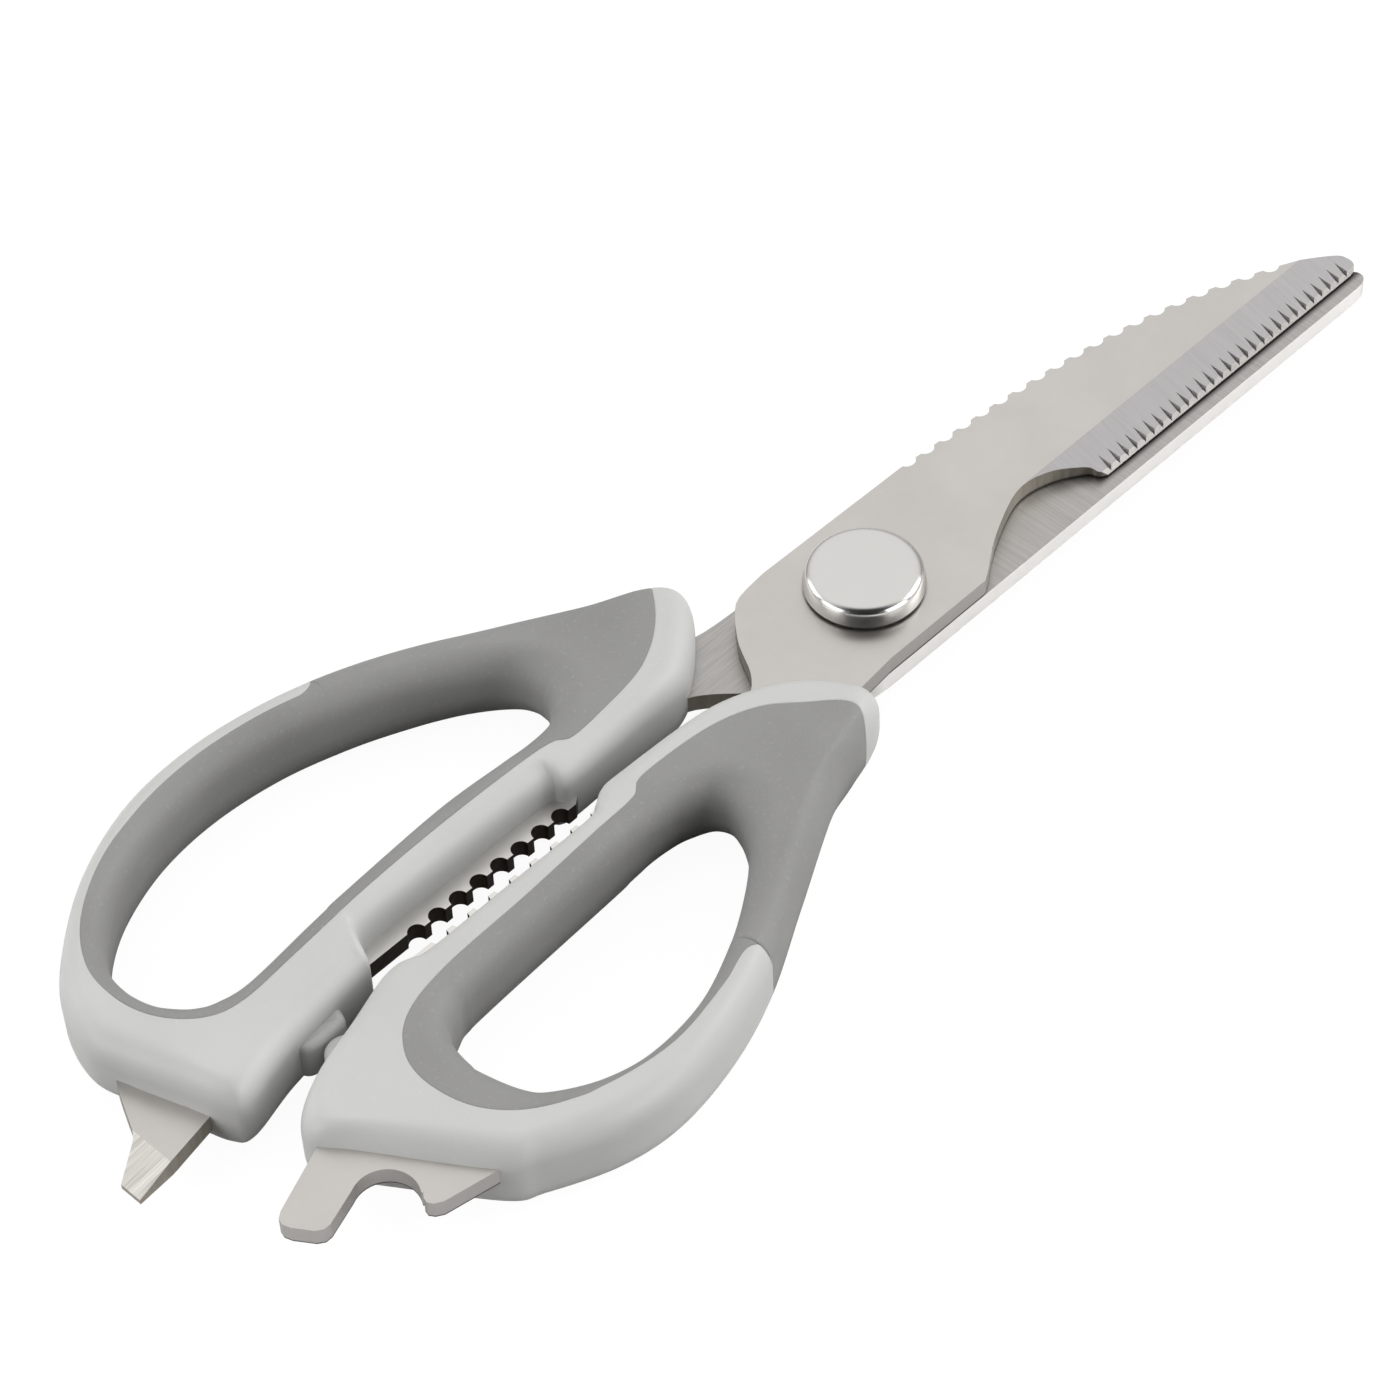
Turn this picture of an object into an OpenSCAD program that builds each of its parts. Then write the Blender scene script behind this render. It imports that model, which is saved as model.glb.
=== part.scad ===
// Multi-purpose poultry shears: two stamped steel blades on one pivot, with moulded handles.
// Frame: origin on the pivot axis in the plane the shears lie on, +X to the blade tips,
// +Y to the finger loop, +Z up out of the pivot cap.

/* [Blades] */
// Distance from the pivot axis to the blade tips
blade_l = 102; // [85:0.1:125]
// Width of both blades across the pivot
blade_w = 25; // [21:0.5:30]
// Thickness of the blade steel
steel_t = 3; // [2.4:0.1:3.6]
// Gap between the two blades
blade_gap = 0.1; // [0.05:0.05:0.2]
// Number of scallops of the scales scraper along the spine
scraper_n = 19; // [12:1:24]
// Depth of a scraper scallop
scraper_depth = 0.8; // [0.5:0.1:1.2]
// Width of the ground cutting bevel
bevel_w = 5.9; // [4:0.1:7]
// Steel left under the bevel at its lower side
bevel_t = 1.2; // [0.8:0.1:1.8]
// Width of the steeper bevel along the cutting edge
hone_w = 0.5; // [0.3:0.1:1.5]
// Steel left at the cutting edge itself
edge_t = 0.3; // [0.2:0.1:0.6]
// Pitch of the fine notches ground across the bevel
notch_pitch = 2; // [1.6:0.1:3]
// Length of a fine notch across the bevel
notch_l = 2.6; // [1.5:0.1:3.5]
// Depth of a fine notch at its wide end
notch_depth = 0.5; // [0.2:0.05:0.6]
// How far the bone notch reaches in from the cutting edge
bone_depth = 6.3; // [4:0.1:7.4]

/* [Tangs] */
// Pitch of the nutcracker teeth
jaw_pitch = 4; // [3:0.1:5]
// Radius of the scallop between two nutcracker teeth
jaw_r = 1.4; // [1:0.1:1.7]
// Number of nutcracker scallops on each tang
jaw_n = 8; // [5:1:8]
// Gap between the tips of the two rows of teeth
jaw_gap = 4.65; // [4.2:0.05:6]
// How far the finger tang's teeth stand out of its handle
finger_reach = 3.2; // [2.4:0.1:4]
// How far the thumb tang's teeth stand out of its handle
thumb_reach = 1.7; // [1.5:0.1:2.6]
// How far the teeth stand out past the plain edge behind them
tooth_rise = 0.7; // [0.2:0.1:0.9]
// Diameter of the tang holes that the plastic locks into
anchor_d = 2.6; // [2:0.1:3]
// Thickness of the screwdriver tip
driver_t = 0.9; // [0.7:0.1:2]
// Length of the taper ground on the screwdriver end
driver_taper = 6.5; // [5:0.5:9]
// Radius of the notch in the bottle opener
opener_r = 4.7; // [3.8:0.1:4.9]

/* [Handles] */
// Distance from the pivot axis to the back of the finger loop
handle_l = 132.6; // [110:0.1:160]
// Height of the handles
handle_h = 14; // [12:0.5:18]
// Radius of the rounded handle edges
edge_r = 3.4; // [2:0.1:4]
// Thickness of the soft grip over the shell
grip_t = 2; // [1.2:0.1:2.2]
// Gap between the stop bosses when the shears are shut
stop_gap = 0.3; // [0.2:0.1:0.6]
// Height of the stop bosses
stop_h = 7; // [4:0.5:9]
// Radius of the rounded stop boss
stop_r = 3.4; // [2.8:0.1:4]

/* [Pivot] */
// Diameter of the pivot cap
cap_d = 18.2; // [14:0.2:21]
// Height of the pivot cap
cap_h = 3.2; // [2:0.1:4]
// How far the cap's wall leans in from its foot to its rim
cap_lean = 0.3; // [0.1:0.1:0.6]
// Radius of the cap's rounded rim
cap_rim = 0.9; // [0.4:0.1:1.4]
// Thickness of the washer under the cap
washer_t = 0.5; // [0.3:0.1:1]
// Diameter of the washer
washer_d = 14.4; // [12:0.2:18]
// Diameter of the screw shoulder that the blades turn on
shoulder_d = 6; // [5:0.1:8]
// Radial running clearance of the blades on the shoulder
run_clear = 0.05; // [0.03:0.01:0.1]
// Diameter of the screw head inside the cap
head_d = 11; // [9.5:0.2:13]
// Thickness of the screw head
head_t = 1.3; // [1:0.1:1.6]
// Diameter of the screw thread
thread_d = 4; // [3:0.1:4.6]
// Diameter of the pivot nut
nut_d = 14; // [11:0.2:18]
// Thickness of the nut's closed floor
nut_floor = 1; // [0.8:0.1:1.6]
// Diameter of the two spanner holes in the nut
spanner_d = 1.6; // [1:0.1:2.2]
// Depth of the spanner holes
spanner_depth = 1.5; // [1:0.1:2]
// Gap under the screw's end in the nut
thread_gap = 0.3; // [0.1:0.1:0.5]

/* [Hidden] */
$fn = 64;

// Overlap of cuts, curve steps, clearance of parts that fit each other, and reach of wide cuts
over = 1;
steps = 3;
fit_clear = 0.05;
wide = 50;

// Heights: the two blades meet at the middle of the handles
lower_z = handle_h / 2 - steel_t;
upper_z = handle_h / 2 + blade_gap;
upper_top = upper_z + steel_t;
washer_top = upper_top + washer_t;

// The outlines are drawn for these sizes and stretch with the ones set above
drawn_blade_l = 102;
drawn_half_w = 12.5;
drawn_handle_l = 132.6;
drawn_edge_y = -10.2;
drawn_bone = 6.3;
neck_x = -20;
half_w = blade_w / 2;
blade_k = blade_l / drawn_blade_l;
width_k = half_w / drawn_half_w;
handle_k = (handle_l + neck_x) / (drawn_handle_l + neck_x);

// Scraper along the spine of the upper blade
spine_x0 = 21 * blade_k;
spine_x1 = 93 * blade_k;
spine_y0 = half_w - 0.5;
spine_drop = 14.6 * width_k;
under_start = 4;
scallop_w = 0.72 * (spine_x1 - spine_x0) / scraper_n;
scallop_r = (scallop_w * scallop_w / 4 + scraper_depth * scraper_depth) / (2 * scraper_depth);

// Cutting edge of the upper blade, its two bevels and the fine notches
tip_clear = 2.8;
bevel_x = 31.5 * blade_k;
edge_y = drawn_edge_y * width_k;
hone_y = edge_y + hone_w;
heel_x = 43 * blade_k;
notch_side = 2;
notch_n = 1 + floor((blade_l - tip_clear - heel_x) / notch_pitch);
bevel_slope = (steel_t - bevel_t) / bevel_w;

// Nutcracker: the rows of teeth face each other across the line y = jaw_y
jaw_y = 1.375;
jaw_x = stretch(-73);
jaw_half = jaw_n * jaw_pitch / 2;
finger_tip_y = jaw_y + jaw_gap / 2;
thumb_tip_y = jaw_y - jaw_gap / 2;
finger_wall_y = finger_tip_y + finger_reach;
thumb_wall_y = thumb_tip_y - thumb_reach;
jaw_end_x = jaw_x - jaw_half + jaw_pitch / 4;
pocket_x0 = jaw_x - jaw_half - 7;
pocket_x1 = jaw_x + jaw_half;

// Holes in the tangs, where pegs of the shells lock them
finger_anchors = [[-37, 10.6], [-50, 9], [-108, 6.4], [-120.5, 7.4]];
thumb_anchors = [[-33, -8], [-50, -5], [-108, -12.5], [-109.5, -25]];

// Middle of the opener's notch
opener_at = [-122, -27.2];

// Place of the stops, a little below mid height
stop_x = -108.5;
stop_y = -2;
stop_mid_z = handle_h / 2 - 1;

// Sections round the finger loop, counter-clockwise from the nose: outer point, hole point
finger_sections = [
    [[-19.6, 17.6], [-46.2, 20.5]], [[-22, 20.8], [-46.3, 23]], [[-30, 24.6], [-47.8, 26.3]],
    [[-42, 32.3], [-51.2, 29.2]], [[-54, 39.4], [-57.5, 33.2]], [[-66, 44.6], [-67, 37.5]],
    [[-78, 47.7], [-78, 40.8]], [[-90, 48.8], [-90, 42]], [[-102, 47.3], [-101, 40.8]],
    [[-114, 42.3], [-111, 37.2]], [[-124, 34.8], [-118, 32.4]], [[-130, 28], [-121.8, 27.5]],
    [[-132.6, 20], [-122.8, 22.5]], [[-131, 13], [-122, 18]], [[-128.4, 5], [-120.2, 15]],
    [[-126.3, -1], [-118.4, 13.2]], [[-123.6, -2.8], [-116, 12]], [[-114, -0.6], [-111, 11.4]]
];
finger_front = [
    [[-42, 5], [-51, 14.6]], [[-33.5, 5.2], [-48.4, 16.4]],
    [[-28.5, 7.4], [-47, 18]], [[-22.1, 13], [-46.4, 19.4]]
];
finger_pocket = [
    [[pocket_x0 - 4, 1.2], [pocket_x0 - 4, 12.6]],
    [[pocket_x0 - 1.3, 1.7], [pocket_x0 - 1, 12.9]],
    [[pocket_x0 + 0.6, finger_wall_y - 1.2], [pocket_x0 + 1, 13.1]],
    [[pocket_x0 + 3.5, finger_wall_y], [pocket_x0 + 3.5, 13.4]],
    [[jaw_x, finger_wall_y], [jaw_x, 14.5]],
    [[pocket_x1 - 4, finger_wall_y], [pocket_x1 - 4, 14]],
    [[pocket_x1 - 0.8, finger_wall_y - 0.5], [pocket_x1 - 1, 13.8]],
    [[pocket_x1 + 1.5, 4.7], [pocket_x1 + 1.5, 13.8]]
];

// Sections round the thumb loop, counter-clockwise from the nose
thumb_front = [
    [[-15.1, -15.8], [-43.9, -14.2]], [[-16.4, -12], [-44.4, -12.4]], [[-21.4, -6.1], [-45.6, -11.2]],
    [[-29.6, -1.7], [-47.8, -10.3]], [[-38, 0], [-50, -9.7]]
];
thumb_pocket = [
    [[pocket_x1 + 6, 0.8], [pocket_x1 + 3, -9.4]],
    [[pocket_x1 + 2.6, 0.4], [pocket_x1 + 1, -9.4]],
    [[pocket_x1, thumb_wall_y + 1.5], [pocket_x1 - 1.4, -9.5]],
    [[pocket_x1 - 3, thumb_wall_y + 0.2], [pocket_x1 - 4, -9.6]],
    [[jaw_x - 5, thumb_wall_y], [jaw_x - 5, -10.6]],
    [[pocket_x0 + 5, thumb_wall_y], [pocket_x0 + 7, -11.3]],
    [[pocket_x0 + 2.2, thumb_wall_y + 1], [pocket_x0 + 4.4, -11.6]],
    [[pocket_x0 + 0.4, -1], [pocket_x0 + 2.8, -11.9]],
    [[pocket_x0 - 3, -1.4], [pocket_x0 + 1, -12.8]]
];
thumb_sections = [
    [[-106, -3.6], [-97.6, -14.2]], [[-115, -6.4], [-98.7, -16.2]], [[-121, -9.8], [-99.2, -18.5]],
    [[-122.7, -13.6], [-99.4, -20.5]], [[-119.2, -19], [-99.4, -22.5]], [[-109, -34.6], [-97.8, -28.5]],
    [[-104, -38], [-95.6, -31.6]], [[-94, -42.5], [-89.5, -35.2]], [[-84, -44], [-82, -36.8]],
    [[-72, -42.2], [-72, -35.8]], [[-60, -38], [-62, -31.8]], [[-46, -30.5], [-54, -27]],
    [[-30, -22.2], [-48.2, -22.4]], [[-21.8, -19.8], [-45.6, -19]], [[-16.9, -18.2], [-44.3, -16.2]]
];

// Lines on the handles where the soft grip meets the shell, each closed outside the handle
finger_seam = [
    [-20.8, 24], [-23.4, 20.2], [-27, 15.9], [-31.5, 12.4], [-37, 10], [-45, 8.8], [-51.5, 8.4],
    [-54, 9.8], [-60, 10.4], [-75, 10.6], [-90, 10.1], [-104, 8.9], [-114, 8.2], [-119.5, 9.8],
    [-123.8, 14.6], [-125.6, 21], [-124.4, 28.6], [-119.6, 35.2], [-111, 40.9], [-101, 44],
    [-90, 45.1], [-79, 44.3], [-72.2, 42.7], [-69.6, 43.1], [-68.6, 44.6], [-68.4, 47]
];
finger_cover = [[-68.4, 60], [-10, 60], [-10, 24]];
thumb_seam = [
    [-27, -24.6], [-23, -21.5], [-20.9, -19.4], [-20.2, -17.2], [-21.2, -14.8], [-24.6, -11.6],
    [-30, -7], [-38, -4.4], [-50, -3.8], [-53.6, -5.6],
    [-62, -6.1], [-76, -7], [-92, -7.7], [-101, -9.8], [-105.8, -14.4], [-107.1, -20.4],
    [-105.4, -27.6], [-100.4, -33.4], [-92, -37.4], [-81, -39.3], [-71, -38], [-63.6, -35.8],
    [-61, -36], [-60, -37.2], [-60.4, -40.5]
];
thumb_cover = [[-62, -54], [-27, -54]];

// Neck and tang of the lower blade: along its lower side, and back along its upper side
finger_tang_low = [
    [-8, -half_w], [-14, -11.8], [-17, -9.8], [-20.2, -6.2], [-21.8, -3.6], [-24, -0.8], [-26.2, 1.6],
    [-28.5, 3.9], [-31.2, 5.8], [-35, 6.9], [-42, 7.2], [-52, 6.8]
];
finger_tang_back = [[-103, 3.8], [-112, 3.4], [-120, 3], [-127, 1.6], [-134.9, 0.1], [-142.3, -1.1]];
finger_tang_top = [
    [-142.3, 2.7], [-138.8, 5], [-136.8, 6.4], [-135.7, 7.8], [-133.9, 11.5], [-131.5, 15.9],
    [-128.6, 18.2], [-125.6, 15.4], [-119, 10.2], [-112, 8.8], [-101, 9.8], [-78, 11.4], [-56, 11],
    [-46, 12.4], [-36, 15.4], [-26, 14], [-20.4, 12.9], [-14.6, half_w], [-8, half_w]
];

// Neck and tang of the upper blade: along its upper side, and back along its lower side
thumb_tang_top = [
    [-8, half_w], [-14, 11.8], [-17, 9.8], [-20.2, 6.2], [-21.8, 3.6], [-23.6, 0.4], [-26.2, -2],
    [-30, -3.2], [-38, -2.6], [-52, -2.3]
];
thumb_tang_back = [[-102, -5], [-108, -7], [-114, -9.4], [-120.6, -13.8]];
opener_prong = [
    [-132.6, -18.5], [-133.6, -19.2], [-133.9, -20.2], [-133.5, -21.4], [-131.7, -24.1], [-130.7, -24.8],
    [-129.6, -24.8], [-123.4, -22.75]
];
opener_hook = [[-118, -30.1], [-118.6, -30.8], [-118.8, -31.6], [-118.3, -32.4], [-117.2, -33.1]];
thumb_tang_low = [
    [-108, -35], [-105.8, -33], [-104.4, -26], [-103.6, -17], [-100, -11], [-92, -9],
    [-78, -8.2], [-56, -7], [-48, -7.5], [-42, -10.6], [-34, -13.6], [-25, -14], [-14.6, -13.1],
    [-8, -half_w]
];

// Front of the blades, in the drawn length and width
bone_line = [
    [12.4, -12.5], [14.6, -11.2], [19.5, -8], [27, -4.6], [31.5, -3.9], [36, -5], [39.2, -6.8],
    [40.9, -8.1], [41.4, -9.4], [42.6, -10.2]
];
tip_line = [
    [100.2, -10.2], [101.3, -10], [102, -9.2], [101.8, -8], [100.8, -6.8], [97.2, -4.7], [93.6, -2.9]
];
under_edge = [[4, 12.5], [21, 11], [36, 9.4], [52, 7.8], [66, 5.3], [78, 2], [88, -2.1], [96, -6.4]];
under_tip = [[101.3, -9.4], [102, -10.4], [101.8, -11.6], [100.6, -12.3], [99, -12.5]];

// A handle's x at the length that is set; the neck in front of neck_x stays as drawn
function stretch(x) = x > neck_x ? x : neck_x + (x - neck_x) * handle_k;

// Handle points, and blade points, at the sizes that are set
function on_handle(p) = [for (q = p) [stretch(q.x), q.y]];
function on_blade(p) = [for (q = p) [q.x * blade_k, q.y * width_k]];

// Bone notch's points at its set depth; its heel on the blade's straight side keeps its place
function on_bone(p) = [
    for (q = p)
        let (rise = max(0, q.y - drawn_edge_y) * bone_depth / drawn_bone)
            [q.x * blade_k, min(q.y, drawn_edge_y) * width_k + rise]
];

// One span of a smooth curve through b and c, at t from 0 to 1
function span(a, b, c, d, t) =
    b + 0.5 * t * (c - a + t * (2 * a - 5 * b + 4 * c - d + t * (3 * (b - c) + d - a)));

// Smooth closed curve through the points p, with n steps in each span
function loop(p, n) = let (m = len(p)) [
    for (i = [0:m - 1], k = [0:n - 1])
        span(p[(i + m - 1) % m], p[i], p[(i + 1) % m], p[(i + 2) % m], k / n)
];

// Smooth open curve from the first to the last of the points p
function run(p, n) = let (m = len(p) - 1) [
    for (i = [0:m - 1], k = [0:n - 1])
        span(p[max(i - 1, 0)], p[i], p[i + 1], p[min(i + 2, m)], k / n),
    p[m]
];

// Spine of the upper blade at x: a straight share and a steep share of its drop
function spine(x) = let (t = (x - spine_x0) / (spine_x1 - spine_x0))
    [x, spine_y0 - spine_drop * (0.35 * t + 0.65 * pow(max(t, 0), 3.2))];

// Rounded rectangle of width w and the handle's height, clockwise from its lower outer corner
function profile(w) = let (r = min(edge_r, w / 2 - 0.05)) [
    for (c = [[r, r, 180], [r, handle_h - r, 90], [w - r, handle_h - r, 0], [w - r, r, -90]], k = [0:3])
        let (a = c[2] + 90 - 30 * k)
        [c[0] + r * cos(a), c[1] + r * sin(a)]
];

// All sections of a loop: the handle's and those at the nutcracker, smoothed and at the set length
function finger_ring(side) = loop(concat(
    on_handle([for (s = finger_sections) s[side]]),
    [for (s = finger_pocket) s[side]],
    on_handle([for (s = finger_front) s[side]])
), steps);
function thumb_ring(side) = loop(concat(
    on_handle([for (s = thumb_front) s[side]]),
    [for (s = thumb_pocket) s[side]],
    on_handle([for (s = thumb_sections) s[side]])
), steps);

// Solid loop with a rounded rectangle spanned from each outer point to its hole point
module ring(outer, hole) {
    m = len(outer);
    n = len(profile(10));
    points = [
        for (i = [0:m - 1])
            let (d = hole[i] - outer[i], w = norm(d))
            for (q = profile(w)) [outer[i].x + d.x * q[0] / w, outer[i].y + d.y * q[0] / w, q[1]]
    ];
    faces = [
        for (i = [0:m - 1], j = [0:n - 1])
            let (a = i * n, b = ((i + 1) % m) * n, k = (j + 1) % n)
            each [[a + j, a + k, b + k], [a + j, b + k, b + j]]
    ];
    polyhedron(points, faces);
}

// Space of a soft grip: all that lies inside its seam, but for the shell's core
module grip_space(seam, outer, hole) {
    difference() {
        translate([0, 0, -over])
            linear_extrude(handle_h + 2 * over)
                polygon(seam);
        translate([0, 0, grip_t])
            linear_extrude(handle_h - 2 * grip_t)
                difference() {
                    offset(delta = -grip_t) polygon(outer);
                    offset(delta = grip_t) polygon(hole);
                }
    }
}

// Scallops of a row of nutcracker teeth, centred on the tips' line y
module jaw_scallops(y, z) {
    for (i = [0:jaw_n - 1])
        translate([jaw_x - jaw_half + (i + 0.5) * jaw_pitch, y, z - over])
            cylinder(r = jaw_r, h = steel_t + 2 * over);
}

// Holes through a tang, of the pegs' diameter
module anchor_holes(places, z) {
    for (p = on_handle(places))
        translate([p.x, p.y, z - over])
            cylinder(d = anchor_d, h = steel_t + 2 * over);
}

// Bore of a blade for the screw's shoulder
module pivot_bore(z) {
    translate([0, 0, z - over])
        cylinder(d = shoulder_d + 2 * run_clear, h = steel_t + 2 * over);
}

// Lower blade's blank, from the tips to the screwdriver, without its holes
module lower_blank() {
    translate([0, 0, lower_z])
        linear_extrude(steel_t)
            polygon(concat(
                run(on_handle(finger_tang_low), steps),
                [
                    [pocket_x1 + 1, finger_tip_y], [jaw_end_x, finger_tip_y],
                    [jaw_end_x, finger_tip_y + tooth_rise], [pocket_x0 - 3, finger_tip_y + tooth_rise]
                ],
                on_handle(finger_tang_back),
                run(on_handle(finger_tang_top), steps),
                run(on_blade(under_edge), steps),
                run(on_blade(under_tip), steps)
            ));
}

// Upper blade's blank, from the tips to the bottle opener, without its holes
module upper_blank() {
    translate([0, 0, upper_z])
        linear_extrude(steel_t)
            polygon(concat(
                run(on_handle(thumb_tang_top), steps),
                [[pocket_x1 + 1, thumb_tip_y], [pocket_x0 - 1, thumb_tip_y]],
                on_handle(thumb_tang_back),
                on_handle(opener_prong),
                on_handle(opener_hook),
                run(on_handle(thumb_tang_low), steps),
                run(on_bone(bone_line), steps),
                run(on_blade(tip_line), steps),
                [for (k = [24:-1:0]) spine(spine_x0 + (spine_x1 - spine_x0) * k / 24)]
            ));
}

// Scallops of the scraper, each a round cut centred off the spine
module scraper() {
    for (i = [0:scraper_n - 1]) {
        dx = (spine_x1 - spine_x0) / scraper_n;
        p = spine(spine_x0 + (i + 0.5) * dx);
        d = spine(p.x + 0.5) - spine(p.x - 0.5);
        c = p + (scallop_r - scraper_depth) * [-d.y, d.x] / norm(d);
        translate([c.x, c.y, upper_z - over])
            cylinder(r = scallop_r, h = steel_t + 2 * over);
    }
}

// Steel ground away above the cutting edge of a blade that lies face down at z = 0
module bevels(length) {
    rotate([90, 0, 90])
        linear_extrude(length)
            polygon([
                [bevel_w + hone_w, steel_t], [hone_w, bevel_t], [0, edge_t], [-2 * over, edge_t - over],
                [-2 * over, steel_t + over], [bevel_w + hone_w, steel_t + over]
            ]);
}

// Fine notches across the bevel, each a V that runs out away from the edge
module fine_notches() {
    slope = atan(bevel_slope);
    rise = atan(notch_depth / notch_l);
    for (i = [0:notch_n - 1])
        translate([heel_x + 0.5 + i * notch_pitch, hone_y, upper_z + bevel_t - notch_depth])
            rotate([slope + rise, 0, 0])
                rotate([0, -45, 0])
                    translate([0, -2 * over, 0])
                        cube([notch_side, notch_l + 2 * over, notch_side]);
}

// Steel ground away under the lower blade, along its curved cutting edge
module under_bevel() {
    p = run(on_blade(under_edge), steps);
    m = len(p) - 1;
    slope = (steel_t - edge_t) / bevel_w;
    sections = [
        for (i = [under_start:m - 1])
            let (mid = (p[i] + p[i + 1]) / 2, d = p[i + 1] - p[i], n = [-d.y, d.x] / norm(d))
            let (out = mid + over * n, in = mid - (bevel_w + over) * n)
            [
                [out.x, out.y, steel_t - edge_t + slope * over],
                [out.x, out.y, -slope * over],
                [in.x, in.y, -slope * over]
            ]
    ];
    last = len(sections) - 1;
    translate([0, 0, lower_z])
        polyhedron(
            [for (t = sections) each t],
            concat(
                [[2, 1, 0], [3 * last, 3 * last + 1, 3 * last + 2]],
                [
                    for (i = [0:last - 1], j = [0:2])
                        let (a = 3 * i, b = a + 3, k = (j + 1) % 3)
                        each [[b + k, b + j, a + j], [a + k, b + k, a + j]]
                ]
            )
        );
}

// Steel blade under the other one, with the finger tang and the screwdriver end
module lower_blade() {
    color([0.8, 0.79, 0.77])
        difference() {
            lower_blank();
            pivot_bore(lower_z);
            anchor_holes(finger_anchors, lower_z);
            jaw_scallops(finger_tip_y, lower_z);
            driver_grinds();
            under_bevel();
        }
}

// The two tapers ground on the screwdriver end
module driver_grinds() {
    tip_x = stretch(-142.3);
    bite = (steel_t - driver_t) / 2;
    for (side = [0, 1])
        translate([tip_x, 0, lower_z + steel_t / 2])
            mirror([0, 0, side])
                translate([0, 0, steel_t / 2 - bite])
                    rotate([90, 0, 0])
                        linear_extrude(wide, center = true)
                            polygon([
                                [-over, 0], [0, 0], [driver_taper, bite],
                                [driver_taper, bite + over], [-over, bite + over]
                            ]);
}

// Steel blade on top, with the scraper, the bone notch, the thumb tang and the bottle opener
module upper_blade() {
    color([0.8, 0.79, 0.77])
        difference() {
            upper_blank();
            pivot_bore(upper_z);
            anchor_holes(thumb_anchors, upper_z);
            jaw_scallops(thumb_tip_y, upper_z);
            scraper();
            translate([bevel_x, edge_y, upper_z])
                bevels(blade_l);
            fine_notches();
            translate([stretch(opener_at.x), opener_at.y, upper_z - over])
                cylinder(r = opener_r, h = steel_t + 2 * over);
        }
}

// Block on the finger handle that the thumb handle stops against
module finger_stop() {
    top_y = stop_y + stop_gap / 2;
    translate([stretch(stop_x), 0, stop_mid_z - stop_h / 2])
        linear_extrude(stop_h)
            polygon([[-5.5, 2.5], [-3.5, top_y], [3, top_y], [5, 3]]);
}

// Rounded block on the thumb handle that meets the finger handle's
module thumb_stop() {
    translate([stretch(stop_x), stop_y - stop_gap / 2 - stop_r, stop_mid_z - stop_h / 2])
        cylinder(r = stop_r, h = stop_h);
}

// Hard shell round the finger tang
module finger_shell() {
    color([0.83, 0.84, 0.84])
        difference() {
            union() {
                difference() {
                    ring(finger_ring(0), finger_ring(1));
                    grip_space(finger_area(), finger_ring(0), finger_ring(1));
                }
                finger_stop();
            }
            difference() {
                lower_blank();
                anchor_holes(finger_anchors, lower_z);
            }
        }
}

// Soft grip in the finger loop
module finger_grip() {
    color([0.58, 0.58, 0.57])
        difference() {
            intersection() {
                ring(finger_ring(0), finger_ring(1));
                grip_space(finger_area(), finger_ring(0), finger_ring(1));
            }
            lower_blank();
        }
}

// Hard shell round the thumb tang
module thumb_shell() {
    color([0.83, 0.84, 0.84])
        difference() {
            union() {
                difference() {
                    ring(thumb_ring(0), thumb_ring(1));
                    grip_space(thumb_area(), thumb_ring(0), thumb_ring(1));
                }
                thumb_stop();
            }
            difference() {
                upper_blank();
                anchor_holes(thumb_anchors, upper_z);
            }
        }
}

// Soft grip in the thumb loop
module thumb_grip() {
    color([0.58, 0.58, 0.57])
        difference() {
            intersection() {
                ring(thumb_ring(0), thumb_ring(1));
                grip_space(thumb_area(), thumb_ring(0), thumb_ring(1));
            }
            upper_blank();
        }
}

// Areas that the soft grips cover, in plan
function finger_area() = concat(run(on_handle(finger_seam), steps), finger_cover);
function thumb_area() = concat(run(on_handle(thumb_seam), steps), thumb_cover);

// Washer that lifts the cap off the upper blade
module pivot_washer() {
    color([0.6, 0.6, 0.6])
        translate([0, 0, upper_top])
            difference() {
                cylinder(d = washer_d, h = washer_t);
                translate([0, 0, -over])
                    cylinder(d = shoulder_d + 2 * fit_clear, h = washer_t + 2 * over);
            }
}

// Screw with a flat head, a shoulder through both blades and a thread in the nut
module pivot_screw() {
    color([0.6, 0.6, 0.6]) {
        translate([0, 0, washer_top])
            cylinder(d = head_d, h = head_t);
        translate([0, 0, lower_z])
            cylinder(d = shoulder_d, h = washer_top - lower_z);
        translate([0, 0, nut_floor + thread_gap])
            cylinder(d = thread_d, h = lower_z);
    }
}

// Polished cap pressed over the screw head
module pivot_cap() {
    r = cap_d / 2;
    rim_x = r - cap_lean - cap_rim;
    color([0.88, 0.87, 0.86])
        translate([0, 0, washer_top])
            rotate_extrude()
                polygon(concat(
                    [[0, head_t], [head_d / 2 + fit_clear, head_t], [head_d / 2 + fit_clear, 0], [r, 0]],
                    [
                        for (a = [0:15:90])
                            [rim_x + cap_rim * cos(a), cap_h - cap_rim + cap_rim * sin(a)]
                    ],
                    [[0, cap_h]]
                ));
}

// Round closed nut under the lower blade, with two spanner holes
module pivot_nut() {
    color([0.7, 0.7, 0.69])
        difference() {
            cylinder(d = nut_d, h = lower_z);
            translate([0, 0, nut_floor])
                cylinder(d = thread_d + 2 * fit_clear, h = lower_z);
            for (side = [-1, 1])
                translate([side * (nut_d + thread_d) / 4, 0, -over])
                    cylinder(d = spanner_d, h = spanner_depth + over);
        }
}

lower_blade();
upper_blade();
finger_shell();
finger_grip();
thumb_shell();
thumb_grip();
pivot_washer();
pivot_screw();
pivot_cap();
pivot_nut();
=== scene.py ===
"""Poultry shears with soft-grip handles, on a plain pale floor under soft studio light."""
import math

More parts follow.
